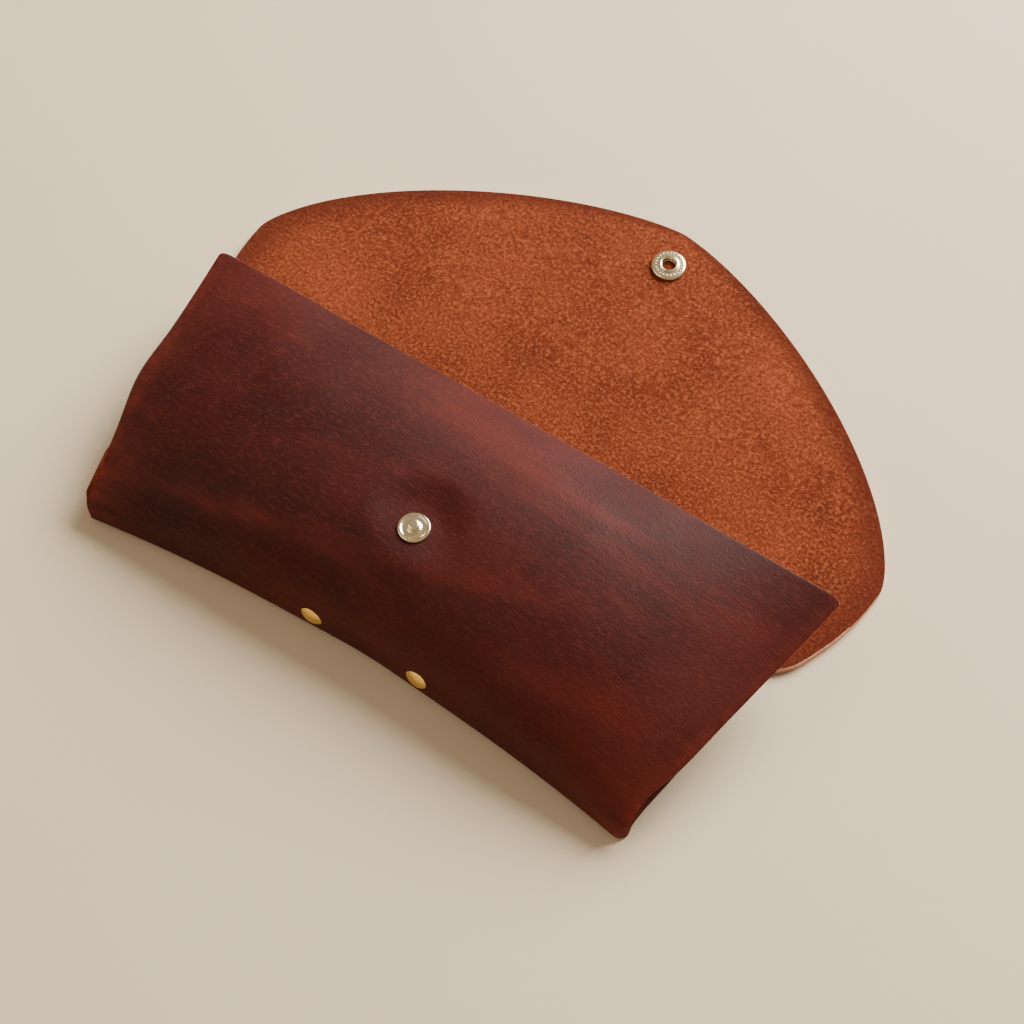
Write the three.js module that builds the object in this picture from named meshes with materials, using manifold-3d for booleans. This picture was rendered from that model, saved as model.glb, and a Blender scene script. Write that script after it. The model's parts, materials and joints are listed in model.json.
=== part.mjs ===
// A soft leather eyeglasses case lying on its back with its flap open.
// Millimetres, +Z up. The origin is on the underside of the back panel, +Y runs from the
// bottom of the case to the tip of the flap, and +X is to the right of someone facing the front.
import * as THREE from "three";
import { mergeVertices } from "three/addons/utils/BufferGeometryUtils.js";
import Module from "manifold-3d";

// Driving dimensions
const LEATHER = 1.8; // thickness of the outer blank
const LINING = 1.4; // skived thickness of the gussets and their tongues
const GAP = 0.4; // left between neighbouring pieces
const MOUTH_Y = 38; // edge of the front panel at the mouth
const MOUTH_HALF_WIDTH = 92;
const BASE_HALF_WIDTH = 78;
const BASE_Y = MOUTH_Y - 66.9; // bottom wall, on the centre line
const BASE_BOW = 6; // how far the corners stand out past the middle of the bottom wall
const BASE_TILT = 2.4; // the left corner stands out this much more, and the right one less
const DENT = 0.8; // between the rivets, where the tongues pull the wall in
const TAPER_LENGTH = 70; // over which the front narrows from the mouth to the corners
const CROWN_HEIGHT = 28; // top of the bulging front
const CROWN_START = 30; // distance of the crown from the mouth
const MOUTH_HEIGHT = 21.5; // of the mouth's edge on the centre line
const MOUTH_TILT = 5; // how much higher its right end is, and how much lower its left end
const SIDE_HEIGHT = 13.5; // of the side folds near the corners
const SIDE_RISE = 60; // length over which the side folds climb to the mouth
const BULGE_LENGTH = 38; // from the bottom wall to where the front is fully up
const BULGE_POWER = 2.3; // roundness of that bulge: 2 is an ellipse
const WALL_ANGLE = 42 * (Math.PI / 180); // of the bulge that belongs to the bottom wall
const NECK_Y = MOUTH_Y - 14.5; // the back panel widens into the flap's ears from here
const BACK_HALF_WIDTH = 74; // back panel near the bottom wall
const SEAM = 0.025; // half the gap between wall and front, as an angle of the bulge
const MOUTH_INSET = 0.9; // keeps the front's edge clear of the shut spine
const CREASE_INSET = 15; // depth of the inward crease of each gusset

const FOLD_Y = MOUTH_Y - 1.4; // fold between the back panel and the flap's spine
const SPINE_LENGTH = 27.4; // leather that climbs past the mouth when the flap is shut
const FOLD_ANGLE = 84; // turn of the spine when shut, in degrees
const CLOSED_ANGLE = 178.5; // turn of the flap itself when shut, in degrees
const FLAP_LIFT = 2.3; // the snap cap holds the tip of the flap up by this angle, in degrees
const FLAP_AXIS_X = -1.2; // the cut outline sits a little to the left
const FLAP_LEAN = -0.017; // and its tip leans further that way
const EAR_Y = MOUTH_Y + 19; // widest place of the flap
const EAR_HALF_WIDTH = 95.5;
const EAR_ROUND = 16; // how much the ear narrows below that
const EAR_DROP = 34; // length of that narrowing
const TIP_REACH = 61.2; // from the widest place to the tip
const TIP_POWER = 1.474; // roundness of the flap: 2 is an ellipse, and 1 a triangle
const SOCKET_Y = MOUTH_Y + 69.4; // snap socket on the open flap

const RIVET_MIDDLE = 2.3; // midway between the two rivets
const RIVET_X = 15; // each rivet from that middle
const RIVET_HEIGHT = 7.5;
const RIVET_CAP_RADIUS = 3.5;
const RIVET_POST_RADIUS = 1.2;
const STUD_RADIUS = 4;
const STUD_SEAT = 7; // flat seat pressed into the leather round the stud
const SOCKET_RADIUS = 4.6;
const CAP_RADIUS = 6;
const SNAP_TUBE_RADIUS = 1.1;
const ROUND_SIDES = 32;

const FOLD_Z = LEATHER; // the leather folds about its inner face
const SPINE_Y = FOLD_Y + SPINE_LENGTH; // fold between the spine and the flap
const TIP_Y = EAR_Y + TIP_REACH;
const radians = (degrees) => (degrees * Math.PI) / 180;
const clamp = (value) => Math.min(1, Math.max(0, value));
const smooth = (value) => clamp(value) ** 2 * (3 - 2 * clamp(value));

// Where the socket lands when the flap is shut: the stud stands there.
const reach = SOCKET_Y - SPINE_Y;
const STUD_Y =
  FOLD_Y +
  SPINE_LENGTH * Math.cos(radians(FOLD_ANGLE)) +
  reach * Math.cos(radians(CLOSED_ANGLE + FLAP_LIFT));
const SNAP_STACK = 2.6; // from the front's leather to the shut flap's inner face
const STUD_Z =
  FOLD_Z +
  SPINE_LENGTH * Math.sin(radians(FOLD_ANGLE)) +
  reach * Math.sin(radians(CLOSED_ANGLE + FLAP_LIFT)) -
  SNAP_STACK;
const STUD_LEAN = CLOSED_ANGLE + FLAP_LIFT - 180; // square to the shut flap, in degrees

const LEATHER_OUT = { color: 0x4a1f1c, roughness: 0.42, metalness: 0 };
const LEATHER_IN = { color: 0x8c4524, roughness: 0.85, metalness: 0 };
const BRASS = { color: 0xd9b357, roughness: 0.25, metalness: 1 };
const PALE_BRASS = { color: 0xd8c592, roughness: 0.3, metalness: 1 };
const SPRING_STEEL = { color: 0x9c9a92, roughness: 0.35, metalness: 1 };

const wasm = await Module();
wasm.setup();

function solid(geometry) {
  const bare = new THREE.BufferGeometry();
  const source = geometry.index ? geometry.toNonIndexed() : geometry;
  bare.setAttribute("position", source.getAttribute("position"));
  const merged = mergeVertices(bare, 1e-4);
  return new wasm.Manifold(
    new wasm.Mesh({
      numProp: 3,
      vertProperties: merged.attributes.position.array,
      triVerts: new Uint32Array(merged.index.array),
    }),
  );
}

function geometryOf(manifold) {
  const mesh = manifold.getMesh();
  const geometry = new THREE.BufferGeometry();
  const position = new THREE.BufferAttribute(mesh.vertProperties, 3);
  geometry.setAttribute("position", position);
  geometry.setIndex(new THREE.BufferAttribute(mesh.triVerts, 1));
  geometry.computeVertexNormals();
  return geometry;
}

function drilled(geometry, holes) {
  return geometryOf(
    holes.reduce((body, hole) => body.subtract(solid(hole)), solid(geometry)),
  );
}

// A closed sheet between two offsets under the surface pointAt(a, b), with a and b from 0 to 1.
// The surface's outside is on the side of d/da x d/db.
function sheet(pointAt, columns, rows, depth, thickness) {
  const step = 1e-3;
  const top = [];
  const under = [];
  for (let j = 0; j <= rows; j++) {
    for (let i = 0; i <= columns; i++) {
      const a = i / columns;
      const b = j / rows;
      const alongA = pointAt(a + step, b).sub(pointAt(a - step, b));
      const alongB = pointAt(a, b + step).sub(pointAt(a, b - step));
      const normal = alongA.cross(alongB).normalize();
      const point = pointAt(a, b);
      top.push(point.clone().addScaledVector(normal, -depth));
      under.push(point.clone().addScaledVector(normal, -depth - thickness));
    }
  }
  const width = columns + 1;
  const index = [];
  const quad = (p, q, r, s) => index.push(p, q, r, p, r, s);
  const below = top.length;
  for (let j = 0; j < rows; j++) {
    for (let i = 0; i < columns; i++) {
      const k = j * width + i;
      quad(k, k + 1, k + width + 1, k + width);
      quad(below + k, below + k + width, below + k + width + 1, below + k + 1);
    }
  }
  for (let i = 0; i < columns; i++) {
    const far = rows * width + i;
    quad(below + i, below + i + 1, i + 1, i);
    quad(far, far + 1, below + far + 1, below + far);
  }
  for (let j = 0; j < rows; j++) {
    const near = j * width;
    const right = near + columns;
    quad(near, near + width, below + near + width, below + near);
    quad(below + right, below + right + width, right + width, right);
  }
  const geometry = new THREE.BufferGeometry();
  geometry.setFromPoints([...top, ...under]);
  geometry.setIndex(index);
  geometry.computeVertexNormals();
  return geometry;
}

// Outer surface of the bulging front and the bottom wall
const halfWidth = (y) =>
  BASE_HALF_WIDTH +
  (MOUTH_HALF_WIDTH - BASE_HALF_WIDTH) *
    ((y - MOUTH_Y + TAPER_LENGTH) / TAPER_LENGTH);
const wallY = (across) => BASE_Y - BASE_BOW * across ** 2 + BASE_TILT * across;

function openHeight(across, y) {
  const climb = clamp((y - MOUTH_Y + SIDE_RISE) / SIDE_RISE);
  const side = SIDE_HEIGHT + (MOUTH_HEIGHT - SIDE_HEIGHT) * climb ** 1.5;
  const past = clamp((y - MOUTH_Y + CROWN_START) / CROWN_START);
  const crown = CROWN_HEIGHT - (CROWN_HEIGHT - MOUTH_HEIGHT) * past ** 2;
  const tilt = MOUTH_TILT * climb ** 2 * across;
  return side + tilt + (crown - side) * (1 - Math.abs(across) ** 3);
}

// across runs from -1 to 1 between the side folds, and turn from 0 at the table to a quarter
// turn, where the front is fully up.
function bulgePoint(across, turn) {
  const up = Math.sin(turn);
  const t = 1 - (1 - Math.abs(up) ** BULGE_POWER) ** (1 / BULGE_POWER);
  const y = wallY(across) + BULGE_LENGTH * t;
  const x = across * halfWidth(y);
  const z = openHeight(across, y) * up;
  const aside = (x - RIVET_MIDDLE) / 13;
  const dent = DENT * Math.exp(-(aside ** 2) - ((z - RIVET_HEIGHT) / 8) ** 2);
  return new THREE.Vector3(x, y + dent, z);
}

// The front is pressed flat round the snap stud.
function seated(point) {
  const away = Math.hypot(point.x, point.y - STUD_Y) - STUD_SEAT;
  point.z += (STUD_Z - point.z) * (1 - smooth(away / STUD_SEAT));
  return point;
}

function frontPoint(across, along) {
  const start = WALL_ANGLE + SEAM;
  const share = 0.6;
  if (along < share) {
    const turn = start + (along / share) * (Math.PI / 2 - start);
    return seated(bulgePoint(across, turn));
  }
  const from = wallY(across) + BULGE_LENGTH;
  const y = from + ((MOUTH_Y - MOUTH_INSET - from) * (along - share)) / (1 - share);
  const z = openHeight(across, y);
  return seated(new THREE.Vector3(across * halfWidth(y), y, z));
}

const EDGE = 1 - 1.2 / BASE_HALF_WIDTH; // the panels stop short of the gusset's roll

function frontPanel() {
  const surface = (a, b) => frontPoint((2 * a - 1) * EDGE, b);
  const hole = new THREE.CylinderGeometry(1.5, 1.5, 12, 16);
  hole.rotateX(Math.PI / 2);
  hole.translate(0, STUD_Y, STUD_Z);
  return drilled(sheet(surface, 28, 16, 0, LEATHER), [hole]);
}

// The frame of each rivet: its axis is square to the bottom wall, and z points out of it.
function rivetFrame(side) {
  const across = (RIVET_MIDDLE + side * RIVET_X) / halfWidth(BASE_Y);
  const turn = Math.asin(RIVET_HEIGHT / CROWN_HEIGHT);
  const step = 0.01;
  const alongX = bulgePoint(across + step, turn).sub(
    bulgePoint(across - step, turn),
  );
  const alongZ = bulgePoint(across, turn + step).sub(
    bulgePoint(across, turn - step),
  );
  const out = alongX.clone().cross(alongZ).normalize();
  const turned = new THREE.Quaternion();
  turned.setFromUnitVectors(new THREE.Vector3(0, 0, 1), out);
  const place = new THREE.Matrix4();
  return place.compose(
    bulgePoint(across, turn),
    turned,
    new THREE.Vector3(1, 1, 1),
  );
}

function rivetHole(side) {
  const hole = new THREE.CylinderGeometry(1.6, 1.6, 14, 16);
  hole.rotateX(Math.PI / 2);
  return hole.applyMatrix4(rivetFrame(side));
}

function bottomPanel() {
  const surface = (a, b) =>
    bulgePoint((2 * a - 1) * EDGE, 0.004 + b * (WALL_ANGLE - SEAM));
  return drilled(sheet(surface, 28, 8, 0, LEATHER), [
    rivetHole(-1),
    rivetHole(1),
  ]);
}

function tongue(side) {
  const surface = (a, b) => {
    const outward = 0.1 + 0.82 * (side > 0 ? a : 1 - a);
    return bulgePoint(side * outward, 0.14 + b * 0.38);
  };
  const layer = sheet(surface, 16, 4, LEATHER + GAP, LINING);
  return drilled(layer, [rivetHole(side)]);
}

// The back panel is as wide as the flap's ears at the fold, and narrows between the gussets.
function backPanel() {
  const top = FOLD_Y - GAP / 2;
  const earSteps = 6;
  const right = [];
  const left = [];
  for (let i = 0; i <= earSteps; i++) {
    const y = top + ((NECK_Y - top) * i) / earSteps;
    right.push(new THREE.Vector2(FLAP_AXIS_X + flapHalfWidth(y), y));
    left.unshift(new THREE.Vector2(FLAP_AXIS_X - flapHalfWidth(y), y));
  }
  const baseSteps = 16;
  const base = [];
  for (let i = 0; i <= baseSteps; i++) {
    const across = (1 - (2 * i) / baseSteps) * (BACK_HALF_WIDTH / BASE_HALF_WIDTH);
    const y = wallY(across) + LEATHER + 1 + DENT;
    base.push(new THREE.Vector2(across * BASE_HALF_WIDTH, y));
  }
  const shape = new THREE.Shape([...right, ...base, ...left]);
  return new THREE.ExtrudeGeometry(shape, {
    depth: LEATHER,
    bevelEnabled: false,
  });
}

// One leaf of a gusset, between the side fold and the crease or between the crease and the back
function gussetLeaf(side, upper) {
  const start = MOUTH_Y - 54;
  const surface = (a, b) => {
    const end = upper ? MOUTH_Y - 4.5 - 4 * b : MOUTH_Y - 8.5 - 5 * b;
    const y = start + a * (end - start);
    const fold = openHeight(side * EDGE, y) * 0.86 - LEATHER - 1.6;
    const creaseX = halfWidth(y) - CREASE_INSET;
    const creaseZ = fold * 0.52 + 0.8;
    const from = upper
      ? [halfWidth(y) - 3.4, fold]
      : [creaseX, creaseZ - LINING - 0.2];
    const to = upper
      ? [creaseX, creaseZ + LINING]
      : [BACK_HALF_WIDTH - 2, LEATHER + 1];
    const x = from[0] + b * (to[0] - from[0]);
    const z = from[1] + b * (to[1] - from[1]);
    return new THREE.Vector3(side * x, y, z);
  };
  const turned = side > 0 ? surface : (a, b) => surface(1 - a, b);
  return sheet(turned, 8, 3, 0, LINING);
}

// Half width of the flap, of its spine and of the back panel's ears
function flapHalfWidth(y) {
  if (y < EAR_Y) {
    const drop = (EAR_Y - y) / EAR_DROP;
    return EAR_HALF_WIDTH - EAR_ROUND + EAR_ROUND * Math.sqrt(1 - drop ** 2);
  }
  const rise = clamp((y - EAR_Y) / TIP_REACH);
  return EAR_HALF_WIDTH * (1 - rise ** TIP_POWER) ** (1 / TIP_POWER);
}

function flapPlate(low, high) {
  const steps = 20;
  const right = [];
  const left = [];
  for (let i = 0; i <= steps; i++) {
    const y = low + (high - low) * Math.sin((i / steps) * (Math.PI / 2));
    const middle = FLAP_AXIS_X + FLAP_LEAN * Math.max(0, y - EAR_Y);
    right.push(new THREE.Vector2(middle + flapHalfWidth(y), y));
    left.unshift(new THREE.Vector2(middle - flapHalfWidth(y), y));
  }
  if (high >= TIP_Y) left.shift();
  return new THREE.ExtrudeGeometry(new THREE.Shape([...right, ...left]), {
    depth: LEATHER,
    bevelEnabled: false,
  });
}

// Turned metal parts, with their axis along z. Each profile lists radius and height.
function turnedPart(profile) {
  const points = profile.map(([r, z]) => new THREE.Vector2(r, z));
  const lathe = new THREE.LatheGeometry(points, ROUND_SIDES);
  return lathe.rotateX(Math.PI / 2);
}

function stud() {
  return turnedPart([
    [0, 2.3],
    [1.1, 2.3],
    [1.55, 2.0],
    [1.6, 1.5],
    [1.3, 1.1],
    [1.3, 0.65],
    [2.9, 0.45],
    [3.3, 0.65],
    [3.8, 0.6],
    [STUD_RADIUS, 0.3],
    [STUD_RADIUS, 0.05],
    [0, 0.05],
  ].reverse());
}

function eyelet() {
  const inside = -LEATHER - 0.3;
  return turnedPart([
    [0, inside - 0.6],
    [3.6, inside - 0.6],
    [STUD_RADIUS, inside - 0.3],
    [STUD_RADIUS, inside],
    [SNAP_TUBE_RADIUS, inside],
    [SNAP_TUBE_RADIUS, -0.25],
    [0, -0.25],
  ]);
}

// The socket faces up from the flap's inner side, z = 0 being the leather.
function socket() {
  return turnedPart([
    [1.75, 0.1],
    [4.2, 0.1],
    [SOCKET_RADIUS, 0.35],
    [SOCKET_RADIUS, 0.75],
    [4.2, 1.15],
    [3.0, 1.3],
    [2.6, 1.7],
    [2.1, 1.7],
    [1.8, 1.3],
    [2.5, 1.15],
    [2.5, 0.45],
    [1.75, 0.4],
    [1.75, 0.1],
  ]);
}

function springRing() {
  return turnedPart([
    [1.85, 0.65],
    [2.2, 0.65],
    [2.2, 0.95],
    [1.85, 0.95],
    [1.85, 0.65],
  ]);
}

function snapCap() {
  return turnedPart([
    [0, -LEATHER - 1.75],
    [3.2, -LEATHER - 1.65],
    [5.2, -LEATHER - 1.2],
    [CAP_RADIUS, -LEATHER - 0.6],
    [5.8, -LEATHER - 0.15],
    [SNAP_TUBE_RADIUS, -LEATHER - 0.15],
    [SNAP_TUBE_RADIUS, 0.05],
    [0, 0.05],
  ]);
}

function rivetCap() {
  return turnedPart([
    [0, 0.9],
    [1.6, 0.82],
    [2.8, 0.5],
    [RIVET_CAP_RADIUS, 0.12],
    [3.4, 0.08],
    [1.5, 0.08],
    [1.5, 0.35],
    [0, 0.35],
  ].reverse());
}

function rivetPost() {
  const inside = -LEATHER - LINING - GAP - 0.3;
  return turnedPart([
    [0, inside - 0.9],
    [2.8, inside - 0.6],
    [RIVET_CAP_RADIUS, inside - 0.2],
    [3.4, inside],
    [RIVET_POST_RADIUS, inside],
    [RIVET_POST_RADIUS, 0.05],
    [0, 0.05],
  ]);
}

const root = new THREE.Group();
const flapGroup = new THREE.Group(); // turned up a little about the fold above the spine
const studGroup = new THREE.Group();
const socketGroup = new THREE.Group();
root.add(flapGroup, studGroup);
flapGroup.add(socketGroup);

function piece(name, geometry, look, parent = root) {
  const mesh = new THREE.Mesh(geometry, new THREE.MeshStandardMaterial(look));
  mesh.name = name;
  parent.add(mesh);
  return mesh;
}

piece("back_panel", backPanel(), LEATHER_IN);
piece("bottom_panel", bottomPanel(), LEATHER_OUT);
piece("front_panel", frontPanel(), LEATHER_OUT);
for (const [label, side] of [
  ["left", -1],
  ["right", 1],
]) {
  piece("gusset_" + label + "_upper", gussetLeaf(side, true), LEATHER_OUT);
  piece("gusset_" + label + "_lower", gussetLeaf(side, false), LEATHER_OUT);
  piece("gusset_" + label + "_tongue", tongue(side), LEATHER_IN);
  const cap = piece("rivet_" + label + "_cap", rivetCap(), BRASS);
  const post = piece("rivet_" + label + "_post", rivetPost(), BRASS);
  cap.applyMatrix4(rivetFrame(side));
  post.applyMatrix4(rivetFrame(side));
}
piece("flap_spine", flapPlate(FOLD_Y + GAP / 2, SPINE_Y - GAP / 2), LEATHER_IN);

flapGroup.position.set(0, SPINE_Y, FOLD_Z);
flapGroup.rotation.x = radians(FLAP_LIFT);
const flap = piece(
  "flap",
  flapPlate(SPINE_Y + GAP / 2, TIP_Y).translate(0, -SPINE_Y, -FOLD_Z),
  LEATHER_IN,
  flapGroup,
);
socketGroup.position.set(0, reach, 0);
const flapHole = new THREE.CylinderGeometry(1.5, 1.5, 12, 16);
flapHole.rotateX(Math.PI / 2);
flapHole.translate(0, reach, 0);
flap.geometry = drilled(flap.geometry, [flapHole]);
piece("snap_socket", socket(), PALE_BRASS, socketGroup);
piece("snap_spring", springRing(), SPRING_STEEL, socketGroup);
piece("snap_cap", snapCap(), BRASS, socketGroup);

studGroup.position.set(0, STUD_Y, STUD_Z);
studGroup.rotation.x = radians(STUD_LEAN);
piece("snap_stud", stud(), PALE_BRASS, studGroup);
piece("snap_post", eyelet(), PALE_BRASS, studGroup);

export default root;
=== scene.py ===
"""A soft leather eyeglasses case, open on a pale table.

Shapes are worked out in millimetres in the frame's own axes and become metres when a mesh is made:
+Y runs from the bottom wall to the tip of the open flap, +X is to the right facing the front.
"""
import json
import math

import bmesh
import bpy
import numpy as np
from mathutils import Matrix, Vector, noise


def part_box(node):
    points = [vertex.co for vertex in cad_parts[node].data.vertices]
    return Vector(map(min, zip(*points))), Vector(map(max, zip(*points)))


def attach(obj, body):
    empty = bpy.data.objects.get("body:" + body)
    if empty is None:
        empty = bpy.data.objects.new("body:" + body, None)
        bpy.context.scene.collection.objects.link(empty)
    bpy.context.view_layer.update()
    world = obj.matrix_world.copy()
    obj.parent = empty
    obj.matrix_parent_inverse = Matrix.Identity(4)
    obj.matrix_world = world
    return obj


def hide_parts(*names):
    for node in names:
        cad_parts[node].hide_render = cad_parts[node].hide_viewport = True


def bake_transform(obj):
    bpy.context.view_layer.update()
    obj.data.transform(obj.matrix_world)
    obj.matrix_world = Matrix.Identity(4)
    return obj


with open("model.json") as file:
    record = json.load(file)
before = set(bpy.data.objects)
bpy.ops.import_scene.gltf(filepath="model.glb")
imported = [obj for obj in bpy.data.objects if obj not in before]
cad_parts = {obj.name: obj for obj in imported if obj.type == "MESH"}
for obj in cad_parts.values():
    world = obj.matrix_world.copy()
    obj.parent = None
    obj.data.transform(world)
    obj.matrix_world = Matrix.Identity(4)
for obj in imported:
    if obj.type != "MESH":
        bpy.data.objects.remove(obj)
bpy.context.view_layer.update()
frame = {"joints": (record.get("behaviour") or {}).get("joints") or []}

MM = 0.001
JOINTS = {joint["name"]: joint for joint in frame["joints"]}
FOLD_Y = JOINTS["spine_fold"]["pos_m"][1] / MM  # fold between the back panel and the spine
SPINE_Y = JOINTS["flap_fold"]["pos_m"][1] / MM  # fold between the spine and the flap
LEATHER = JOINTS["spine_fold"]["pos_m"][2] / MM  # it folds about its inner face
GUSSET_LEATHER = 1.1
WELD = 0.02  # vertices closer than this become one

# The pouch. u runs from -1 at its left side fold to 1 at its right one.
MOUTH_Y = FOLD_Y + 1.4
BASE_Y = MOUTH_Y - 66.9  # middle of the bottom wall
BASE_BOW = 6.0  # how much further out the wall's ends stand
BASE_TILT = 2.4  # the left end more than the right end
BASE_HALF_WIDTH = 78.0
MOUTH_HALF_WIDTH = 92.0
TAPER_LENGTH = 70.0  # over which the pouch widens to its mouth
CROWN_HEIGHT = 28.0  # of the front's middle line
CROWN_START = 30.0  # before the mouth, where the middle line starts to sink
MOUTH_HEIGHT = 21.5
MOUTH_TILT = 5.0  # its right end is higher by this, its left end lower
MOUTH_INSET = 0.7  # keeps the front's edge clear of the shut spine
MOUTH_CORNER = (3.0, 2.2)  # its rounded corners, along the edge and into the front
SIDE_HEIGHT = 13.5  # of the side folds at the bottom wall
SIDE_RISE = 60.0  # before the mouth, where the side folds start to rise
BULGE_LENGTH = 38.0  # from the bottom wall to the full height
BULGE_POWER = 2.3  # of its round section, where 2 is an ellipse
CORNER_ROUND = 3.5  # of the bottom corners, seen from above
FOLD_ALLOWANCE = 1.3  # what rounding the side folds takes off the width
LEFT_SWELL = (2.2, -3, 12)  # of the left end: how far, its y and its reach
RIGHT_SINK = (1.2, -23, 6)  # of the right end
RIVET_MIDDLE = 2.3  # halfway between the rivets
RIVET_HEIGHT = 7.5
DENT = 0.8  # depth of the hollow between the rivets
DENT_REACH = (13, 8)  # sideways and up
TABLE_ROLL = 2.6  # radius of the fold along the table
ROLL_END = 6.0  # from the bottom wall, where the back has its own width
BACK_END_Y = 24.0  # the pouch's leather meets the fold's leather here
BACK_SETTLE = 50.0  # over which the back takes up its own length and width
BACK_GAIN = 1.8  # how much it widens over that length
BACK_TUCK = (7.0, 1.2)  # how far its left and right lower corners are drawn in
TUCK_LENGTH = 21.0
NECK_Y = 13.0  # from here the back widens again, towards the flap
NECK_GAIN = 2.6
CREASE_INSET = 15.0  # how far in the gussets are creased
CREASE_OPENING = 17.0  # at this opening they are creased fully
CREASE_SOFTNESS = 0.01
SOFTENING = 9  # passes that round the lengthwise folds
SEAT_FLAT = 6.0  # radius of the flat seat round the stud
SEAT_FADE = 9.0
FRONT_LEVEL = 15.0  # only the front is higher than this near the stud
STUD_CENTRE = 1.18  # above the leather
COLUMNS = 150
GUSSET_COLUMNS = 40
BACK_COLUMN = COLUMNS + GUSSET_COLUMNS  # the round starts: front, right gusset, back
LEFT_COLUMN = BACK_COLUMN + COLUMNS  # and ends with the left gusset
SIDE_STEPS = 75  # rows from the bottom wall to the mouth, and along the flap's sides
BULGE_ROWS = 36

# The flap
SPINE_SPLIT_Y = 45.0  # the fold's leather meets the flap's leather here
FLAP_AXIS_X = -1.2
FLAP_LEAN = -0.017  # sideways, for each mm towards the tip
FLAP_LIFT = math.radians(2.3)
EAR_Y = MOUTH_Y + 19  # where the flap is widest
EAR_HALF_WIDTH = 95.5
EAR_ROUND = 16.0  # what it loses from there to its fold
EAR_DROP = 34.0  # over this length
TIP_REACH = 61.2  # from the widest place to the tip
TIP_POWER = 1.474  # of the tip's curve, where 2 is an ellipse
TIP_Y = EAR_Y + TIP_REACH
SHOULDER_Y = TIP_Y - 17  # here the patch's sides end and its far edge starts
OUTLINE_STEPS = 1200
FOLD_ROWS = 40

# The gussets' tongues
TONGUE_ROWS = 12
TONGUE_COLUMNS = 60
TONGUE_SPAN = (0.1, 0.72)  # its two ends, as u
TONGUE_FOOT = 3.6  # height of its lower edge
TONGUE_HEIGHT = 10.4  # at the middle of the wall
TONGUE_TAPER = 5.0  # what it loses by the side fold
TONGUE_GAP = 0.35  # to the wall

# The metal pieces
STUD_FOOT = -1.17  # zero of the stud's and the post's profiles, from the stud's centre
SOCKET_CENTRE = 0.9  # above the flap's inner face
BEADS = 22
BEAD_CIRCLE = 3.5
BEAD_HEIGHT = 1.17
SPRING_RADIUS = 2.02
SPRING_WIRE = 0.17
SPRING_HEIGHT = 0.8
RIVET_FOOT = -0.35  # zero of the rivets' profiles, from the cap's centre

# The view and the light, in metres
AZIMUTH = math.radians(35.14)
ELEVATION = math.radians(60.5)
DISTANCE = 0.560
TARGET = Vector((0.0078, 0.0248, 0))
LIGHTS_AIM = Vector((0, 0.03, 0))
TABLE_HALF_SIZE = 1.6
TABLE_Z = -0.0002  # just under what lies on it


# ---------------------------------------------------------------- small helpers

def smooth(value):
    """Rises from 0 to 1 without a kink as the value does."""
    value = np.clip(value, 0, 1)
    return value * value * (3 - 2 * value)


def hill(distance, width):
    """1 at no distance, fading out over about twice the width."""
    return np.exp(-(distance / width) ** 2)


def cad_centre(node):
    """Middle of a CAD node's box, in mm."""
    low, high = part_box(node)
    return np.array((low + high) / 2) / MM


def ripple(x, y, z, size, seed):
    """Smooth noise of about -1 to 1 with features of that size, for arrays of places in mm."""
    shape = np.shape(x)
    places = zip(np.ravel(x), np.ravel(y), np.ravel(z))
    offset = Vector((seed * 17.3, seed * 5.1, seed * 9.7))
    values = [noise.noise(Vector(place) / size + offset) for place in places]
    return np.reshape(values, shape)


def grid_faces(rows, columns, wrap=False):
    """Quads between rows of points. wrap joins each row's last point to its first."""
    faces = []
    for i in range(rows - 1):
        for j in range(columns if wrap else columns - 1):
            following = (j + 1) % columns
            low, high = i * columns, (i + 1) * columns
            faces.append((low + j, low + following, high + following, high + j))
    return faces


def mesh_object(name, points, faces, looks=()):
    mesh = bpy.data.meshes.new(name)
    for material in looks:
        mesh.materials.append(material)
    mesh.from_pydata((np.asarray(points) * MM).tolist(), [], faces)
    mesh.update()
    piece = bpy.data.objects.new(name, mesh)
    bpy.context.scene.collection.objects.link(piece)
    return piece


def weld(piece, distance):
    """Joins the vertices that meet, and turns all faces outward."""
    shape = bmesh.new()
    shape.from_mesh(piece.data)
    bmesh.ops.remove_doubles(shape, verts=shape.verts, dist=distance * MM)
    bmesh.ops.recalc_face_normals(shape, faces=shape.faces)
    shape.to_mesh(piece.data)
    shape.free()


def shade_smooth(piece, sharp_degrees):
    piece.data.polygons.foreach_set("use_smooth", [True] * len(piece.data.polygons))
    piece.data.set_sharp_from_angle(angle=math.radians(sharp_degrees))


def thicken(piece, thickness, thin=None):
    """Gives a sheet its thickness under its outer face. Faces: 0 outer, 1 inner, 2 cut edges.
    thin holds the share of that thickness that each vertex has."""
    solidify = piece.modifiers.new("thickness", "SOLIDIFY")
    solidify.thickness = thickness * MM
    solidify.offset = -1
    solidify.use_even_offset = False
    solidify.material_offset = 1
    solidify.material_offset_rim = 2
    if thin is not None:
        group = piece.vertex_groups.new(name="thickness")
        for index, share in enumerate(thin):
            group.add([index], float(share), "REPLACE")
        solidify.vertex_group = group.name
    graph = bpy.context.evaluated_depsgraph_get()
    made = bpy.data.meshes.new_from_object(piece.evaluated_get(graph))
    piece.modifiers.clear()
    piece.data = made
    piece.vertex_groups.clear()


def round_cut_edges(piece, radius, seams=()):
    """Rounds the edges of the cut faces, except where the piece butts on the next one."""
    shape = bmesh.new()
    shape.from_mesh(piece.data)
    chosen = []
    for edge in shape.edges:
        looks = {face.material_index for face in edge.link_faces}
        if len(looks) < 2 or 2 not in looks:
            continue
        if any(abs(end.co.y / MM - seam) < 0.02 for end in edge.verts for seam in seams):
            continue
        chosen.append(edge)
    bmesh.ops.bevel(
        shape, geom=chosen, offset=radius * MM, segments=2, profile=0.5,
        affect="EDGES", material=2, clamp_overlap=True,
    )
    shape.to_mesh(piece.data)
    shape.free()


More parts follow.
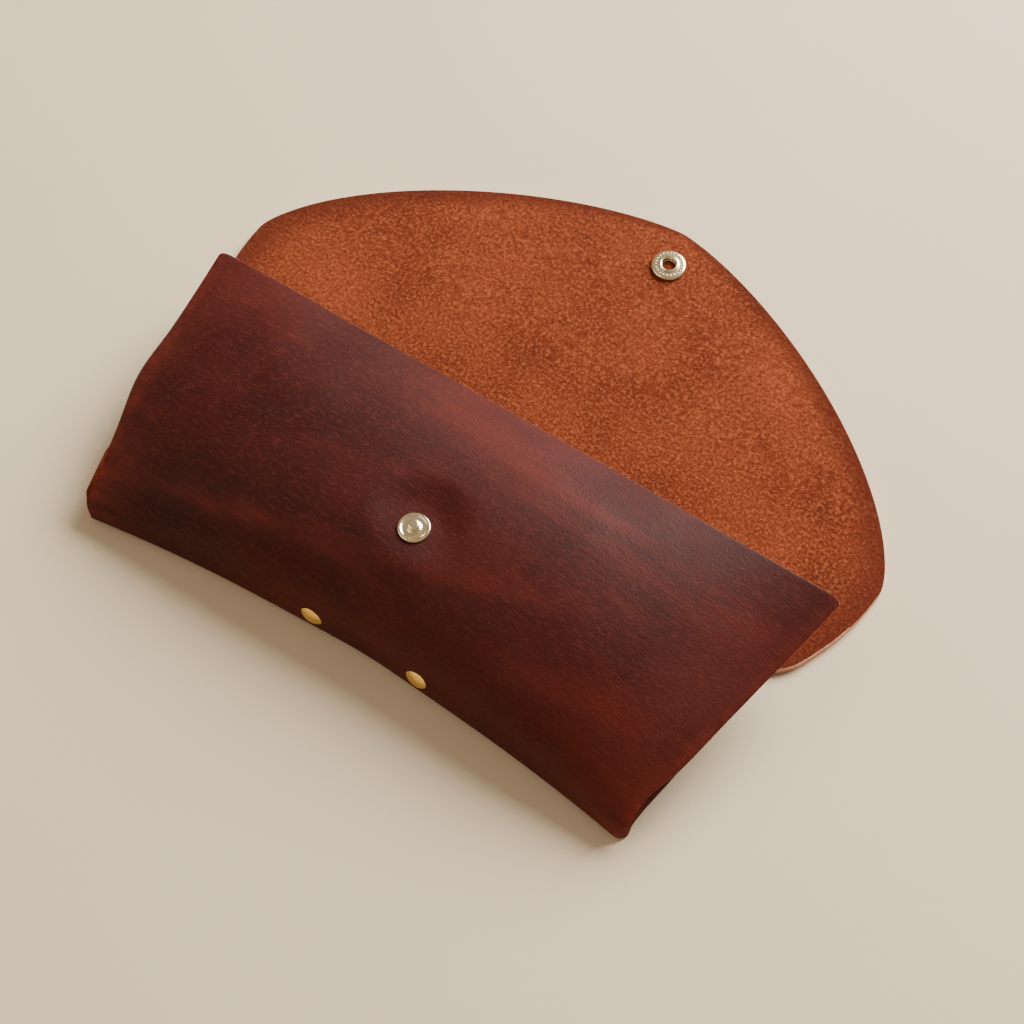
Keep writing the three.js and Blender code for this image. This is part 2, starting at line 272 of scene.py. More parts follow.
def finish_leather(piece, wear_and_shade=None):
    """Smooth shading, and the leather's own coordinates, which stay with it as it folds."""
    shade_smooth(piece, 55)
    places = np.array([vertex.co for vertex in piece.data.vertices])
    rest = piece.data.attributes.new("rest", "FLOAT_VECTOR", "POINT")
    rest.data.foreach_set("vector", places.astype(np.float32).ravel())
    # the share of wear, which on the flap also sets a painted shade along its cut edge
    worn_and_shaded = piece.data.attributes.new("wear_and_shade", "FLOAT", "POINT")
    amount = np.zeros(len(places)) if wear_and_shade is None else wear_and_shade(places / MM)
    worn_and_shaded.data.foreach_set("value", amount.astype(np.float32))
    return piece


# ---------------------------------------------------------------- materials

class Nodes:
    """Builds one material's node tree."""

    def __init__(self, name):
        self.material = bpy.data.materials.new(name)
        self.material.use_nodes = True
        self.tree = self.material.node_tree
        self.shader = self.tree.nodes["Principled BSDF"]

    def add(self, kind, **settings):
        node = self.tree.nodes.new(kind)
        for key, value in settings.items():
            setattr(node, key, value)
        return node

    def link(self, source, target):
        self.tree.links.new(source, target)

    def value(self, name, number):
        self.shader.inputs[name].default_value = number

    def place(self):
        """The leather's own coordinates, in metres."""
        return self.add("ShaderNodeAttribute", attribute_name="rest").outputs["Vector"]

    def moved(self, vector, scale=(1, 1, 1), turn=0.0):
        mapping = self.add("ShaderNodeMapping")
        mapping.inputs["Scale"].default_value = scale
        mapping.inputs["Rotation"].default_value = (0, 0, turn)
        self.link(vector, mapping.inputs["Vector"])
        return mapping.outputs["Vector"]

    def noise(self, vector, scale, detail=2.0, roughness=0.5):
        node = self.add("ShaderNodeTexNoise")
        node.inputs["Scale"].default_value = scale
        node.inputs["Detail"].default_value = detail
        node.inputs["Roughness"].default_value = roughness
        self.link(vector, node.inputs["Vector"])
        return node.outputs["Fac"]

    def cells(self, vector, scale):
        node = self.add("ShaderNodeTexVoronoi", feature="SMOOTH_F1")
        node.inputs["Scale"].default_value = scale
        node.inputs["Smoothness"].default_value = 0.4
        self.link(vector, node.inputs["Vector"])
        return node.outputs["Distance"]

    def fit(self, source, low, high, out_low=0.0, out_high=1.0):
        node = self.add("ShaderNodeMapRange", clamp=True)
        for name, number in zip(
            ("From Min", "From Max", "To Min", "To Max"), (low, high, out_low, out_high)
        ):
            node.inputs[name].default_value = number
        self.link(source, node.inputs["Value"])
        return node.outputs["Result"]

    def math(self, operation, first, second):
        node = self.add("ShaderNodeMath", operation=operation)
        for socket, value in zip(node.inputs, (first, second)):
            if isinstance(value, (int, float)):
                socket.default_value = value
            else:
                self.link(value, socket)
        return node.outputs[0]

    def mix(self, share, first, second):
        node = self.add("ShaderNodeMix", data_type="RGBA")
        sockets = [node.inputs[k] for k in (0, 6, 7)]  # the share and the two colours
        for socket, value in zip(sockets, (share, first, second)):
            if isinstance(value, tuple):
                socket.default_value = (*value, 1)
            elif isinstance(value, (int, float)):
                socket.default_value = value
            else:
                self.link(value, socket)
        return node.outputs[2]

    def bump(self, height, strength, distance, before=None):
        node = self.add("ShaderNodeBump")
        node.inputs["Strength"].default_value = strength
        node.inputs["Distance"].default_value = distance
        self.link(height, node.inputs["Height"])
        if before is not None:
            self.link(before, node.inputs["Normal"])
        return node.outputs["Normal"]


def leather_material():
    """Oiled pull-up leather: dark burgundy, redder where it was stretched, rubbed paler at the
    folds.
    """
    n = Nodes("leather_outer")
    place = n.place()
    cloud = n.fit(n.noise(place, 22, 4, 0.55), 0.35, 0.68)
    colour = n.mix(cloud, (0.032, 0.0046, 0.0040), (0.068, 0.0098, 0.0070))
    along = n.moved(place, (0.35, 1.9, 1.0), math.radians(14))
    streak = n.fit(n.noise(along, 34, 5, 0.62), 0.53, 0.72)
    colour = n.mix(n.math("MULTIPLY", streak, 0.6), colour, (0.115, 0.0145, 0.0072))
    grain = n.noise(n.moved(place, (0.55, 1.9, 1.0), math.radians(8)), 950, 4, 0.68)
    speck = n.fit(grain, 0.5, 0.72)
    colour = n.mix(n.math("MULTIPLY", speck, 0.42), colour, (0.15, 0.026, 0.017))
    worn_and_shaded = n.add("ShaderNodeAttribute", attribute_name="wear_and_shade").outputs["Fac"]
    patchy = n.fit(n.noise(along, 210, 5, 0.65), 0.36, 0.64, 0.25, 1.0)
    colour = n.mix(n.math("MULTIPLY", worn_and_shaded, patchy), colour, (0.150, 0.0215, 0.0125))
    n.link(colour, n.shader.inputs["Base Color"])
    rough = n.fit(n.noise(place, 60, 3), 0.3, 0.7, 0.46, 0.6)
    n.link(n.math("ADD", rough, n.math("MULTIPLY", speck, 0.08)), n.shader.inputs["Roughness"])
    n.value("Specular IOR Level", 0.14)
    pebble = n.bump(n.cells(place, 1500), 0.3, 0.0001)
    fine = n.bump(grain, 0.45, 0.00014, pebble)
    crease = n.noise(n.moved(place, (0.5, 2.2, 1.0), math.radians(10)), 130, 5, 0.6)
    n.link(n.bump(crease, 0.12, 0.0006, fine), n.shader.inputs["Normal"])
    return n.material


def suede_material():
    """The flesh side: an orange-brown nap with darker and lighter patches, and painted shade along
    the flap's cut edge.
    """
    n = Nodes("leather_flesh")
    place = n.place()
    patch = n.fit(n.noise(place, 34, 5, 0.6), 0.33, 0.68)
    colour = n.mix(patch, (0.118, 0.0168, 0.0038), (0.220, 0.0400, 0.0108))
    nap = n.noise(place, 1150, 5, 0.75)
    colour = n.mix(n.fit(nap, 0.5, 0.68, 0.0, 0.85), colour, (0.40, 0.105, 0.034))
    colour = n.mix(n.fit(nap, 0.32, 0.48, 0.8, 0.0), colour, (0.050, 0.0070, 0.0022))
    worn_and_shaded = n.add("ShaderNodeAttribute", attribute_name="wear_and_shade").outputs["Fac"]
    # painted shade: the flesh side darkens with this share, as along the flap's cut edge
    colour = n.mix(n.math("MULTIPLY", worn_and_shaded, 0.75), colour, (0.080, 0.0095, 0.0020))
    n.link(colour, n.shader.inputs["Base Color"])
    n.link(n.fit(nap, 0.3, 0.7, 0.95, 0.78), n.shader.inputs["Roughness"])
    n.value("Specular IOR Level", 0.12)
    n.value("Sheen Weight", 0.05)
    n.value("Sheen Roughness", 0.5)
    long_nap = n.bump(n.noise(n.moved(place, (1.0, 0.6, 1.0), 0.5), 300, 5, 0.7), 0.6, 0.0007)
    n.link(n.bump(nap, 0.8, 0.0004, long_nap), n.shader.inputs["Normal"])
    return n.material


def cut_edge_material():
    """Raw cut edges: pale pinkish tan fibres mixed with darker ones."""
    n = Nodes("leather_edge")
    place = n.place()
    fibre = n.noise(n.moved(place, (1, 1, 3)), 900, 4, 0.7)
    colour = n.mix(n.fit(fibre, 0.35, 0.7), (0.45, 0.17, 0.085), (0.82, 0.48, 0.32))
    n.link(colour, n.shader.inputs["Base Color"])
    n.link(n.fit(fibre, 0.3, 0.7, 0.85, 0.6), n.shader.inputs["Roughness"])
    n.value("Specular IOR Level", 0.3)
    n.link(n.bump(fibre, 0.5, 0.0002), n.shader.inputs["Normal"])
    return n.material


def metal_material(name, light, dark, low, high):
    """Polished sheet metal with faint tarnish and fine rubbing marks."""
    n = Nodes(name)
    place = n.add("ShaderNodeTexCoord").outputs["Object"]
    tarnish = n.fit(n.noise(place, 420, 4, 0.6), 0.35, 0.7)
    n.link(n.mix(tarnish, light, dark), n.shader.inputs["Base Color"])
    rub = n.noise(place, 2600, 3, 0.6)
    n.link(n.fit(rub, 0.3, 0.7, low, high), n.shader.inputs["Roughness"])
    n.value("Metallic", 1.0)
    n.link(n.bump(rub, 0.05, 0.00003), n.shader.inputs["Normal"])
    return n.material


def paper_material():
    """The table: matt, warm, pale, with a very fine tooth."""
    n = Nodes("table")
    place = n.add("ShaderNodeTexCoord").outputs["Object"]
    tone = n.fit(n.noise(place, 9, 3), 0.3, 0.7)
    colour = n.mix(tone, (0.735, 0.605, 0.415), (0.755, 0.625, 0.432))
    n.link(colour, n.shader.inputs["Base Color"])
    n.value("Roughness", 0.85)
    n.value("Specular IOR Level", 0.2)
    n.link(n.bump(n.noise(place, 1400, 3), 0.12, 0.0002), n.shader.inputs["Normal"])
    return n.material


# ---------------------------------------------------------------- the pouch

def half_width(y):
    """From the centre line to a side fold."""
    climb = (y - MOUTH_Y + TAPER_LENGTH) / TAPER_LENGTH
    return BASE_HALF_WIDTH + (MOUTH_HALF_WIDTH - BASE_HALF_WIDTH) * climb


def wall_y(u):
    """Where the outside of the bottom wall stands."""
    return BASE_Y - BASE_BOW * u ** 2 + BASE_TILT * u


def open_height(u, y):
    """Height of the front's outer face above the table, where the bulge is full."""
    climb = np.clip((y - MOUTH_Y + SIDE_RISE) / SIDE_RISE, 0, 1)
    side = SIDE_HEIGHT + (MOUTH_HEIGHT - SIDE_HEIGHT) * climb ** 1.5
    past = np.clip((y - MOUTH_Y + CROWN_START) / CROWN_START, 0, 1)
    crown = CROWN_HEIGHT - (CROWN_HEIGHT - MOUTH_HEIGHT) * past ** 2
    tilt = MOUTH_TILT * climb ** 2 * u
    return side + tilt + (crown - side) * (1 - np.abs(u) ** 3)


def end_x(u, y, depth):
    """How far a place on the front or back lies from the centre line: u is -1 to 1 between the
    side folds, depth is the distance from the bottom wall."""
    inside = np.clip((CORNER_ROUND - depth) / CORNER_ROUND, 0, 1)
    round_off = CORNER_ROUND * (1 - np.sqrt(1 - inside ** 2))
    return u * (half_width(y) + FOLD_ALLOWANCE - round_off)


def crosswise():
    """Places across the panel from -1 to 1, closer together at the side folds."""
    t = np.linspace(-1, 1, COLUMNS)
    return 1.32 * t - 0.32 * t ** 3


def bulge_depth(share):
    """Distance from the bottom wall at which the bulge has that share of its full height."""
    return BULGE_LENGTH * (1 - (1 - share ** BULGE_POWER) ** (1 / BULGE_POWER))


def side_bulge(u, y):
    """The soft ends don't run straight: the left one swells, the right one sinks at its corner."""
    left, right = (
        -size * hill(y - middle, reach) for size, middle, reach in (LEFT_SWELL, RIGHT_SINK)
    )
    return np.where(u < 0, left, right) * np.abs(u) ** 12


def front_grid(u):
    """Rows up the bulge, then on to the mouth."""
    up = np.sin(np.linspace(0, math.pi / 2, BULGE_ROWS))
    straight = np.linspace(0, 1, SIDE_STEPS - BULGE_ROWS + 1)[1:]
    along, into = MOUTH_CORNER
    corner = np.clip((np.abs(u) * MOUTH_HALF_WIDTH - MOUTH_HALF_WIDTH + along) / along, 0, 1)
    mouth = MOUTH_Y - MOUTH_INSET - into * (1 - np.sqrt(1 - corner ** 2))
    rows = []
    for depth, share in zip(bulge_depth(up), up):
        y = wall_y(u) + depth
        z = TABLE_ROLL + (open_height(u, y) - TABLE_ROLL) * share
        x = end_x(u, y, depth) + side_bulge(u, y)
        across = hill(x - RIVET_MIDDLE, DENT_REACH[0])
        dent = DENT * across * hill(z - RIVET_HEIGHT, DENT_REACH[1])
        rows.append(np.stack([x, y + dent, z], axis=1))
    for share in straight:
        start = wall_y(u) + BULGE_LENGTH
        y = start + (mouth - start) * share
        x = end_x(u, y, BULGE_LENGTH) + side_bulge(u, y)
        rows.append(np.stack([x, y, open_height(u, y)], axis=1))
    return np.array(rows)


def back_grid(u, front):
    """Rows that pair with the front's: round the roll at the table, then flat on it."""
    rows = []
    reach = (BACK_END_Y - BASE_Y) / (MOUTH_Y - BASE_Y)
    wall = front[0, :, 1]
    over = (BACK_END_Y - wall) / np.max(front[-1, :, 1] - wall) / reach
    tucks = np.where(u < 0, *BACK_TUCK)
    for row in front:
        depth = row[:, 1] - wall
        depth = depth * (1 + (reach - 1) * smooth(depth / (MOUTH_Y - BASE_Y)))
        depth = depth * (1 + (over - 1) * smooth(depth / BACK_SETTLE))
        y = wall + depth
        inside = np.clip((TABLE_ROLL - depth) / TABLE_ROLL, 0, 1)
        z = TABLE_ROLL * (1 - np.sqrt(1 - inside ** 2))
        tuck = tucks * (1 - smooth((y - BASE_Y) / TUCK_LENGTH))
        neck = NECK_GAIN * smooth((y - NECK_Y) / (BACK_END_Y - NECK_Y))
        gain = BACK_GAIN * smooth((y - BASE_Y) / BACK_SETTLE)
        width = half_width(BASE_Y) + gain + neck - tuck
        shrink = width / half_width(y)
        ends = end_x(u, y, depth) * (1 + (shrink - 1) * smooth(depth / ROLL_END))
        rows.append(np.stack([ends, y, z], axis=1))
    rows = np.array(rows)
    rows[-1, :, 1] = BACK_END_Y
    rows[-1, :, 0] = u * flap_half_width(BACK_END_Y)
    return rows


def down_gusset():
    """Places from the front's fold at 0 to the back's edge at 1, without those two."""
    return np.linspace(0, 1, GUSSET_COLUMNS + 2)[1:-1]


def gusset_grid(edge, base, side):
    """The end of the pouch, creased inward between the front's fold and the back's edge."""
    w = down_gusset()
    crease = 1 - np.sqrt((2 * w - 1) ** 2 + CREASE_SOFTNESS)
    rows = []
    for top, foot in zip(edge, base):
        opening = np.linalg.norm(top - foot)
        push = CREASE_INSET * smooth(opening / CREASE_OPENING) * crease
        line = top + (foot - top) * w[:, None]
        line[:, 0] -= side * push
        rows.append(line)
    return np.array(rows)


def soften(rows, passes):
    """Rounds the folds that run along the pouch."""
    for _ in range(passes):
        rows = (np.roll(rows, 1, axis=1) + 2 * rows + np.roll(rows, -1, axis=1)) / 4
    return rows


def relief(x, y, z):
    """The soft leather's own unevenness, which fades out round the stud and at the table."""
    height = 0.55 * ripple(x, y, z, 42, 1) + 0.18 * ripple(x, y, z, 17, 2)
    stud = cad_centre("snap_stud")
    away = np.hypot(x - stud[0], y - stud[1])
    return height * smooth((away - 7) / 9) * smooth(z / 8)


def pouch_rows():
    """Closed rounds of points from the bottom wall to the mouth."""
    u = crosswise()
    front = front_grid(u)
    back = back_grid(u, front)
    right = gusset_grid(front[:, -1], back[:, -1], 1)
    left = gusset_grid(front[:, 0], back[:, 0], -1)
    loop = np.concatenate([front, right, back[:, ::-1], left[:, ::-1]], axis=1)
    border = loop[-1].copy()
    loop = soften(loop, SOFTENING)
    joint = slice(BACK_COLUMN + 6, LEFT_COLUMN - 6)  # butts on the fold's leather
    loop[-1, joint] = border[joint]
    return loop


def seated(rows):
    """The front is pressed flat round the snap stud."""
    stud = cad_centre("snap_stud")
    x, y, z = np.moveaxis(rows, 2, 0)
    away = np.hypot(x - stud[0], y - stud[1])
    share = (1 - smooth((away - SEAT_FLAT) / SEAT_FADE)) * (z > FRONT_LEVEL)
    rows[:, :, 2] += (stud[2] - STUD_CENTRE - z) * share
    return rows


def skived(rows):
    """Share of the leather's thickness: thin at the side folds and in the gussets."""
    panel = 0.3 + 0.7 * smooth((1 - np.abs(crosswise())) * BASE_HALF_WIDTH / 7)
    w = down_gusset()
    leaf = 0.16 + 0.4 * smooth(np.minimum(w, 1 - w) / 0.35)
    shares = np.tile(np.concatenate([panel, leaf, panel, leaf]), (len(rows), 1))
    opening = np.linalg.norm(rows[:, 0] - rows[:, LEFT_COLUMN - 1], axis=1)
    room = 0.3 + 0.7 * smooth(opening / 12)
    shares[:, COLUMNS:BACK_COLUMN] *= room[:, None]
    shares[:, LEFT_COLUMN:] *= room[:, None]
    return shares


def make_pouch(looks):
    """The front, the bottom wall, the back and both gussets as one skin."""
    rows = seated(pouch_rows())
    count, columns = rows.shape[:2]
    points = rows.reshape(-1, 3)
    faces = grid_faces(count, columns, wrap=True)
    piece = mesh_object("pouch_leather", points, faces, looks)
    share = piece.data.attributes.new("share", "FLOAT", "POINT")
    share.data.foreach_set("value", skived(rows).ravel().astype(np.float32))
    weld(piece, WELD)
    places = np.array([v.co for v in piece.data.vertices]) / MM
    normals = np.array([v.normal for v in piece.data.vertices])
    on_front = smooth((places[:, 2] - 4) / 8)
    lift = relief(*places.T) * on_front
    moved = (places + normals * lift[:, None]) * MM
    piece.data.vertices.foreach_set("co", moved.ravel())
    thin = [value.value for value in piece.data.attributes["share"].data]
    piece.data.attributes.remove(piece.data.attributes["share"])
    piece.data.update()
    thicken(piece, LEATHER, thin)
    round_cut_edges(piece, 0.5, seams=(BACK_END_Y,))
    finish_leather(piece, pouch_wear)
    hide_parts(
        "front_panel", "bottom_panel", "back_panel",
        "gusset_left_upper", "gusset_left_lower", "gusset_right_upper", "gusset_right_lower",
    )
    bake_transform(piece)


def pouch_wear(places):
    """Paler where the leather is folded, at the corners, and in a few stretched streaks."""
    x, y, z = places.T
    streaks = (
        0.7 * hill(x + 38, 19) * hill(y + 21.5 - 0.16 * (x + 38), 2.6)
        + 0.6 * hill(x - 22, 15) * hill(y + 6.5 - 0.31 * (x - 22), 2.6)
        + 0.4 * hill(x - 52, 20) * hill(y + 17 - 0.2 * (x - 52), 3)
    )
    fold = np.abs(x) / half_width(y)
    edge = smooth((fold - 0.955) / 0.045) * smooth((z - 3) / 6)
    corner = hill(np.hypot(np.abs(x) - 76, y + 32), 10)
    return np.clip(0.5 * edge + 0.7 * corner + streaks * (z > 4), 0, 1)


# ---------------------------------------------------------------- the flap

def flap_half_width(y):
    """From the flap's middle line to its cut edge."""
    y = np.asarray(y, float)
    drop = np.clip((EAR_Y - y) / EAR_DROP, 0, 1)
    ear = EAR_HALF_WIDTH - EAR_ROUND + EAR_ROUND * np.sqrt(1 - drop ** 2)
    rise = np.clip((y - EAR_Y) / TIP_REACH, 0, 1)
    tip = EAR_HALF_WIDTH * (1 - rise ** TIP_POWER) ** (1 / TIP_POWER)
    return np.where(y < EAR_Y, ear, tip)


def flap_middle(y):
    """The cut outline sits a little to the left, and its tip leans further that way."""
    y = np.asarray(y, float)
    settle = smooth((y - BACK_END_Y) / 12)
    return FLAP_AXIS_X * settle + FLAP_LEAN * np.maximum(0, y - EAR_Y)


def flap_z(y):
    """The snap's cap holds the tip up a little."""
    return np.maximum(0, y - SPINE_Y) * math.tan(FLAP_LIFT)


def flat_leather(name, x, y, looks, seams):
    """Leather lying on the table with its grain side down."""
    points = np.stack([x, y, flap_z(y)], axis=2)
    rows, columns = x.shape
    faces = [face[::-1] for face in grid_faces(rows, columns)]
    piece = mesh_object(name, points.reshape(-1, 3), faces, looks)
    thicken(piece, LEATHER)
    round_cut_edges(piece, 0.3, seams)
    return finish_leather(piece, flap_edge_wear_and_shade)


def flap_edge_wear_and_shade(places):
    """Along the cut edge: rubbed paler on the grain side, which lies on the table, and darker on
    the flesh side, where it is painted shade.
    """
    x, y, _ = places.T
    inset = flap_half_width(y) - np.abs(x - flap_middle(y))
    near_edge = 1 - smooth((inset - 1) / 11)
    return 0.95 * near_edge


def make_fold(looks):
    """The spine's leather, from the back to the flap."""
    y = np.linspace(BACK_END_Y, SPINE_SPLIT_Y, FOLD_ROWS)[:, None]
    x = flap_middle(y) + flap_half_width(y) * crosswise()[None, :]
    piece = flat_leather("fold_leather", x, y + 0 * x, looks, (BACK_END_Y, SPINE_SPLIT_Y))
    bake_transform(piece)
    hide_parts("flap_spine")


def outline_side(side):
    """The flap's cut edge on one side, from the split up to the tip."""
    rise = np.sin(np.linspace(0, math.pi / 2, OUTLINE_STEPS))
    y = SPINE_SPLIT_Y + (TIP_Y - SPINE_SPLIT_Y) * rise
    return np.stack([flap_middle(y) + side * flap_half_width(y), y], axis=1)


def spaced(line, shares):
    """Points along a line at those shares of its length."""
    steps = np.linalg.norm(np.diff(line, axis=0), axis=1)
    length = np.concatenate([[0], np.cumsum(steps)])
    where = shares * length[-1]
    return np.stack([np.interp(where, length, line[:, k]) for k in (0, 1)], axis=1)


def make_flap(looks):
    """One patch between the split, the two sides and the tip's round."""
    u = (crosswise()[None, :] + 1) / 2
    v = np.linspace(0, 1, SIDE_STEPS)[:, None]
    sides = []
    tips = []
    for side in (-1, 1):
        line = outline_side(side)
        cut = np.searchsorted(line[:, 1], SHOULDER_Y)
        sides.append(spaced(line[: cut + 1], v[:, 0]))
        tips.append(line[cut:])
    far = spaced(np.concatenate([tips[0], tips[1][::-1][1:]]), u[0])
    near_x = flap_middle(SPINE_SPLIT_Y) + flap_half_width(SPINE_SPLIT_Y) * crosswise()
    near = np.stack([near_x, np.full(COLUMNS, SPINE_SPLIT_Y)], axis=1)
    patch = []
    for k in (0, 1):
        low, high = near[None, :, k], far[None, :, k]
        left, right = sides[0][:, None, k], sides[1][:, None, k]
        ruled = (1 - v) * low + v * high + (1 - u) * left + u * right
        corners = (
            (1 - u) * (1 - v) * near[0, k] + u * (1 - v) * near[-1, k]
            + (1 - u) * v * far[0, k] + u * v * far[-1, k]
        )
        patch.append(ruled - corners)
    piece = flat_leather("flap_leather", patch[0], patch[1], looks, (SPINE_SPLIT_Y,))
    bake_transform(piece)
    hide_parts("flap")


# ---------------------------------------------------------------- inner tongues

def make_tongue(label, side, looks):
    """The end of each gusset's strip, held against the inside of the bottom wall by its rivet."""
    along = np.linspace(*TONGUE_SPAN, TONGUE_COLUMNS)[None, :] * side
    rise = np.linspace(0, 1, TONGUE_ROWS)[:, None]
    heights = TONGUE_FOOT + rise * (TONGUE_HEIGHT - TONGUE_TAPER * np.abs(along))
    full = open_height(along, wall_y(along) + 6)
    up = np.clip((heights - TABLE_ROLL) / (full - TABLE_ROLL), 0, 1)
    y = wall_y(along) + bulge_depth(up) + LEATHER + TONGUE_GAP
    x = along * half_width(y)
    points = np.stack([x, y, heights + 0 * along], axis=2).reshape(-1, 3)
    faces = grid_faces(TONGUE_ROWS, TONGUE_COLUMNS)
    if side < 0:
        faces = [face[::-1] for face in faces]
    piece = mesh_object(f"tongue_{label}", points, faces, looks)
    thicken(piece, GUSSET_LEATHER)
    round_cut_edges(piece, 0.25)
    finish_leather(piece)
    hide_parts(f"gusset_{label}_tongue")
    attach(piece, "root")


# ---------------------------------------------------------------- metal pieces

def turned(name, profile, place, material, sides=72):
    """A turned part: profile lists radius and height in mm round the closed section."""
    points = []
    for radius, height in profile:
        for k in range(sides):
            angle = 2 * math.pi * k / sides
            points.append((radius * math.cos(angle), radius * math.sin(angle), height))
    faces = grid_faces(len(profile), sides, wrap=True)
    piece = mesh_object(name, points, faces)
    weld(piece, 0.001)
    shade_smooth(piece, 38)
    piece.data.materials.append(material)
    piece.data.transform(place)
    return piece


def rounded(points, radius=0.12, steps=3):
    """A profile whose inner corners are rounded."""
    made = [points[0]]
    for before, corner, after in zip(points, points[1:], points[2:]):
        corner = np.array(corner, float)
        back = np.array(before, float) - corner
        ahead = np.array(after, float) - corner
        reach = min(radius, 0.45 * np.linalg.norm(back), 0.45 * np.linalg.norm(ahead))
        start = corner + back / np.linalg.norm(back) * reach
        stop = corner + ahead / np.linalg.norm(ahead) * reach
        for k in range(steps + 1):
            t = k / steps
            made.append(tuple((1 - t) ** 2 * start + 2 * t * (1 - t) * corner + t ** 2 * stop))
    made.append(points[-1])
    return made


def seat(node, toward, height=0.0):
    """A place on the axis that runs from the node `toward` to `node`, in metres."""
    axis = Vector(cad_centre(node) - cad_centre(toward)).normalized()
    turn = axis.to_track_quat("Z", "Y").to_matrix().to_4x4()
    return Matrix.Translation(Vector(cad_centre(node)) * MM + axis * height * MM) @ turn


def make_stud(brass):
    """The knob on the front."""
    profile = [
        (0, 2.3), (0.95, 2.27), (1.45, 2.07), (1.55, 1.75), (1.35, 1.35), (1.25, 0.75),
        (2.0, 0.5), (2.9, 0.5), (3.25, 0.72), (3.75, 0.72), (4.0, 0.45), (4.0, 0.05), (0, 0.05),
    ]
    place = seat("snap_stud", "snap_post", STUD_FOOT)
    piece = turned("snap_stud_visual", rounded(profile), place, brass)
    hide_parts("snap_stud")
    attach(piece, "front")


def make_post(brass):
    """The stud's eyelet, inside the front."""
    profile = [
        (0, -2.75), (3.3, -2.75), (3.9, -2.5), (4.0, -2.2), (3.8, -2.05), (1.3, -2.1),
        (1.1, -1.9), (1.1, -0.2), (0, -0.2),
    ]
    place = seat("snap_stud", "snap_post", STUD_FOOT)
    piece = turned("snap_post_visual", rounded(profile), place, brass)
    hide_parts("snap_post")
    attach(piece, "front")


def socket_place():
    """On the flap's inner face, under the middle of the socket."""
    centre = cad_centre("snap_socket")
    base = Vector((centre[0], centre[1], centre[2] - SOCKET_CENTRE)) * MM
    return Matrix.Translation(base) @ Matrix.Rotation(FLAP_LIFT, 4, "X")


def make_socket(brass, steel):
    """The ring on the flap's inner face, its row of beads and the spring inside it."""
    profile = [
        (1.75, 0.12), (4.25, 0.12), (4.6, 0.38), (4.6, 0.8), (4.3, 1.12), (3.9, 1.2),
        (2.75, 1.2), (2.55, 1.55), (2.25, 1.66), (1.95, 1.55), (1.8, 1.25), (1.8, 1.05),
        (2.45, 1.0), (2.45, 0.5), (1.75, 0.42), (1.75, 0.12),
    ]
    place = socket_place()
    ring = turned("snap_socket_visual", rounded(profile), place, brass)
    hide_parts("snap_socket")
    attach(ring, "flap")
    bead = [(0, 0.16), (0.14, 0.13), (0.24, 0.05), (0.27, -0.05), (0, -0.05)]
    for k in range(BEADS):
        angle = 2 * math.pi * k / BEADS
        x, y = BEAD_CIRCLE * math.cos(angle), BEAD_CIRCLE * math.sin(angle)
        spot = place @ Matrix.Translation(Vector((x, y, BEAD_HEIGHT)) * MM)
        dot = turned(f"snap_socket_bead_{k:02d}", bead, spot, brass, sides=14)
        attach(dot, "flap")
    wire = [
        (SPRING_RADIUS + SPRING_WIRE * math.cos(a), SPRING_HEIGHT + SPRING_WIRE * math.sin(a))
        for a in np.linspace(0, 2 * math.pi, 13)
    ]
    spring = turned("snap_spring_visual", wire, place, steel)
    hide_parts("snap_spring")
    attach(spring, "flap")


def make_snap_cap(brass):
    """The smooth cap on the flap's grain side, with the tube that holds the socket."""
    under = -LEATHER
    profile = [
        (0, under - 1.75), (1.8, under - 1.72), (3.4, under - 1.58), (4.8, under - 1.25),
        (5.7, under - 0.8), (6.0, under - 0.45), (5.9, under - 0.15), (1.1, under - 0.1),
        (1.1, -0.1), (1.0, 0.02), (0, 0.02),
    ]
    piece = turned("snap_cap_visual", rounded(profile), socket_place(), brass)
    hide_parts("snap_cap")
    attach(piece, "flap")


def make_rivet(label, brass):
    """The domed cap outside the bottom wall, and the post with its cap inside it."""
    cap_node, post_node = f"rivet_{label}_cap", f"rivet_{label}_post"
    place = seat(cap_node, post_node, RIVET_FOOT)
    dome = [
        (0, 0.86), (0.9, 0.84), (1.8, 0.74), (2.6, 0.55), (3.15, 0.33), (3.5, 0.05), (3.45, -0.1),
        (1.5, -0.1), (1.4, -0.4), (0, -0.4),
    ]
    cap = turned(f"rivet_{label}_cap_visual", rounded(dome), place, brass)
    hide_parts(cap_node)
    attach(cap, "root")
    inside = -LEATHER - GUSSET_LEATHER - 0.9
    foot = [
        (0, inside - 0.9), (1.8, inside - 0.8), (2.9, inside - 0.55), (3.5, inside - 0.1),
        (3.4, inside + 0.1), (1.2, inside + 0.1), (1.2, -0.42), (0, -0.42),
    ]
    post = turned(f"rivet_{label}_post_visual", rounded(foot), place, brass)
    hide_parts(post_node)
    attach(post, "root")


# ---------------------------------------------------------------- the studio

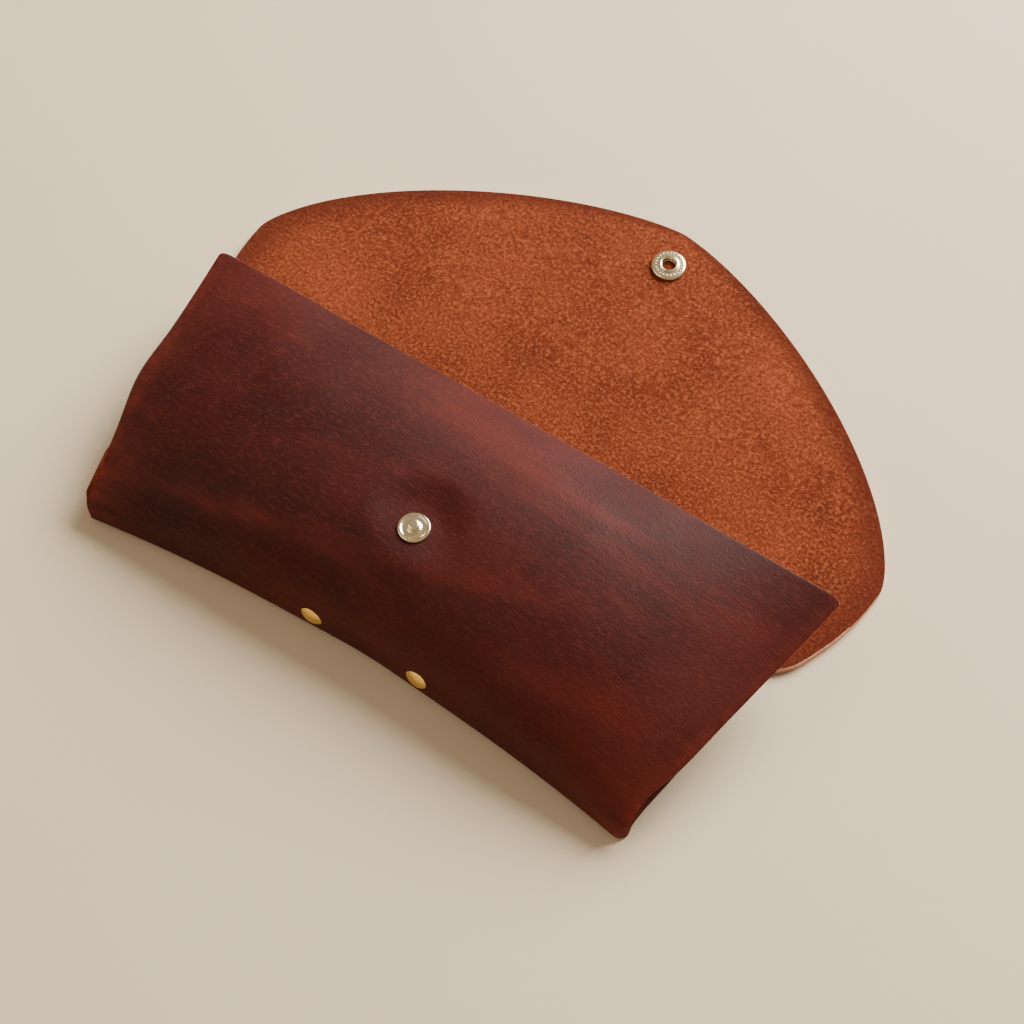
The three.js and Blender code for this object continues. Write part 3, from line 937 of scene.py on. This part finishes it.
def make_camera():
    camera = bpy.data.objects.new("camera", bpy.data.cameras.new("camera"))
    bpy.context.scene.collection.objects.link(camera)
    back = Vector((
        math.sin(AZIMUTH) * math.cos(ELEVATION),
        -math.cos(AZIMUTH) * math.cos(ELEVATION),
        math.sin(ELEVATION),
    ))
    camera.location = TARGET + back * DISTANCE
    camera.rotation_euler = (-back).to_track_quat("-Z", "Y").to_euler()
    camera.data.sensor_width = 36
    camera.data.lens = 79.35
    bpy.context.scene.camera = camera


def area_light(name, place, size, power, colour):
    light = bpy.data.lights.new(name, "AREA")
    light.shape = "DISK"
    light.size = size
    light.energy = power
    light.color = colour
    lamp = bpy.data.objects.new(name, light)
    lamp.location = place
    lamp.rotation_euler = (LIGHTS_AIM - Vector(place)).to_track_quat("-Z", "Y").to_euler()
    bpy.context.scene.collection.objects.link(lamp)


def make_studio():
    size = TABLE_HALF_SIZE
    corners = [(-size, -size, 0), (size, -size, 0), (size, size, 0), (-size, size, 0)]
    floor = bpy.data.meshes.new("table")
    floor.from_pydata(corners, [], [(0, 1, 2, 3)])
    table = bpy.data.objects.new("table", floor)
    table.location.z = TABLE_Z
    table.data.materials.append(paper_material())
    bpy.context.scene.collection.objects.link(table)
    area_light("key", (0.17, 0.90, 0.62), 0.8, 35.0, (1.0, 0.985, 0.95))
    area_light("fill", (-0.7, -0.75, 0.9), 1.3, 4.6, (1.0, 0.82, 0.66))
    world = bpy.data.worlds.new("room")
    bpy.context.scene.world = world
    world.use_nodes = True
    background = world.node_tree.nodes["Background"]
    background.inputs["Color"].default_value = (1.0, 0.80, 0.64, 1)
    background.inputs["Strength"].default_value = 0.36


# ---------------------------------------------------------------- the object

def make_case():
    leather = leather_material()
    suede = suede_material()
    edge = cut_edge_material()
    brass = metal_material("rivet_brass", (0.98, 0.70, 0.22), (0.86, 0.54, 0.14), 0.14, 0.26)
    pale = metal_material("snap_brass", (0.98, 0.88, 0.60), (0.88, 0.74, 0.44), 0.14, 0.26)
    steel = metal_material("spring_steel", (0.46, 0.44, 0.40), (0.30, 0.28, 0.25), 0.25, 0.4)
    looks = (leather, suede, edge)
    make_pouch(looks)
    make_fold(looks)
    make_flap(looks)
    for label, side in (("left", -1), ("right", 1)):
        make_tongue(label, side, (suede, suede, edge))
        make_rivet(label, brass)
    make_stud(pale)
    make_post(pale)
    make_socket(pale, steel)
    make_snap_cap(brass)


make_camera()
make_studio()
make_case()
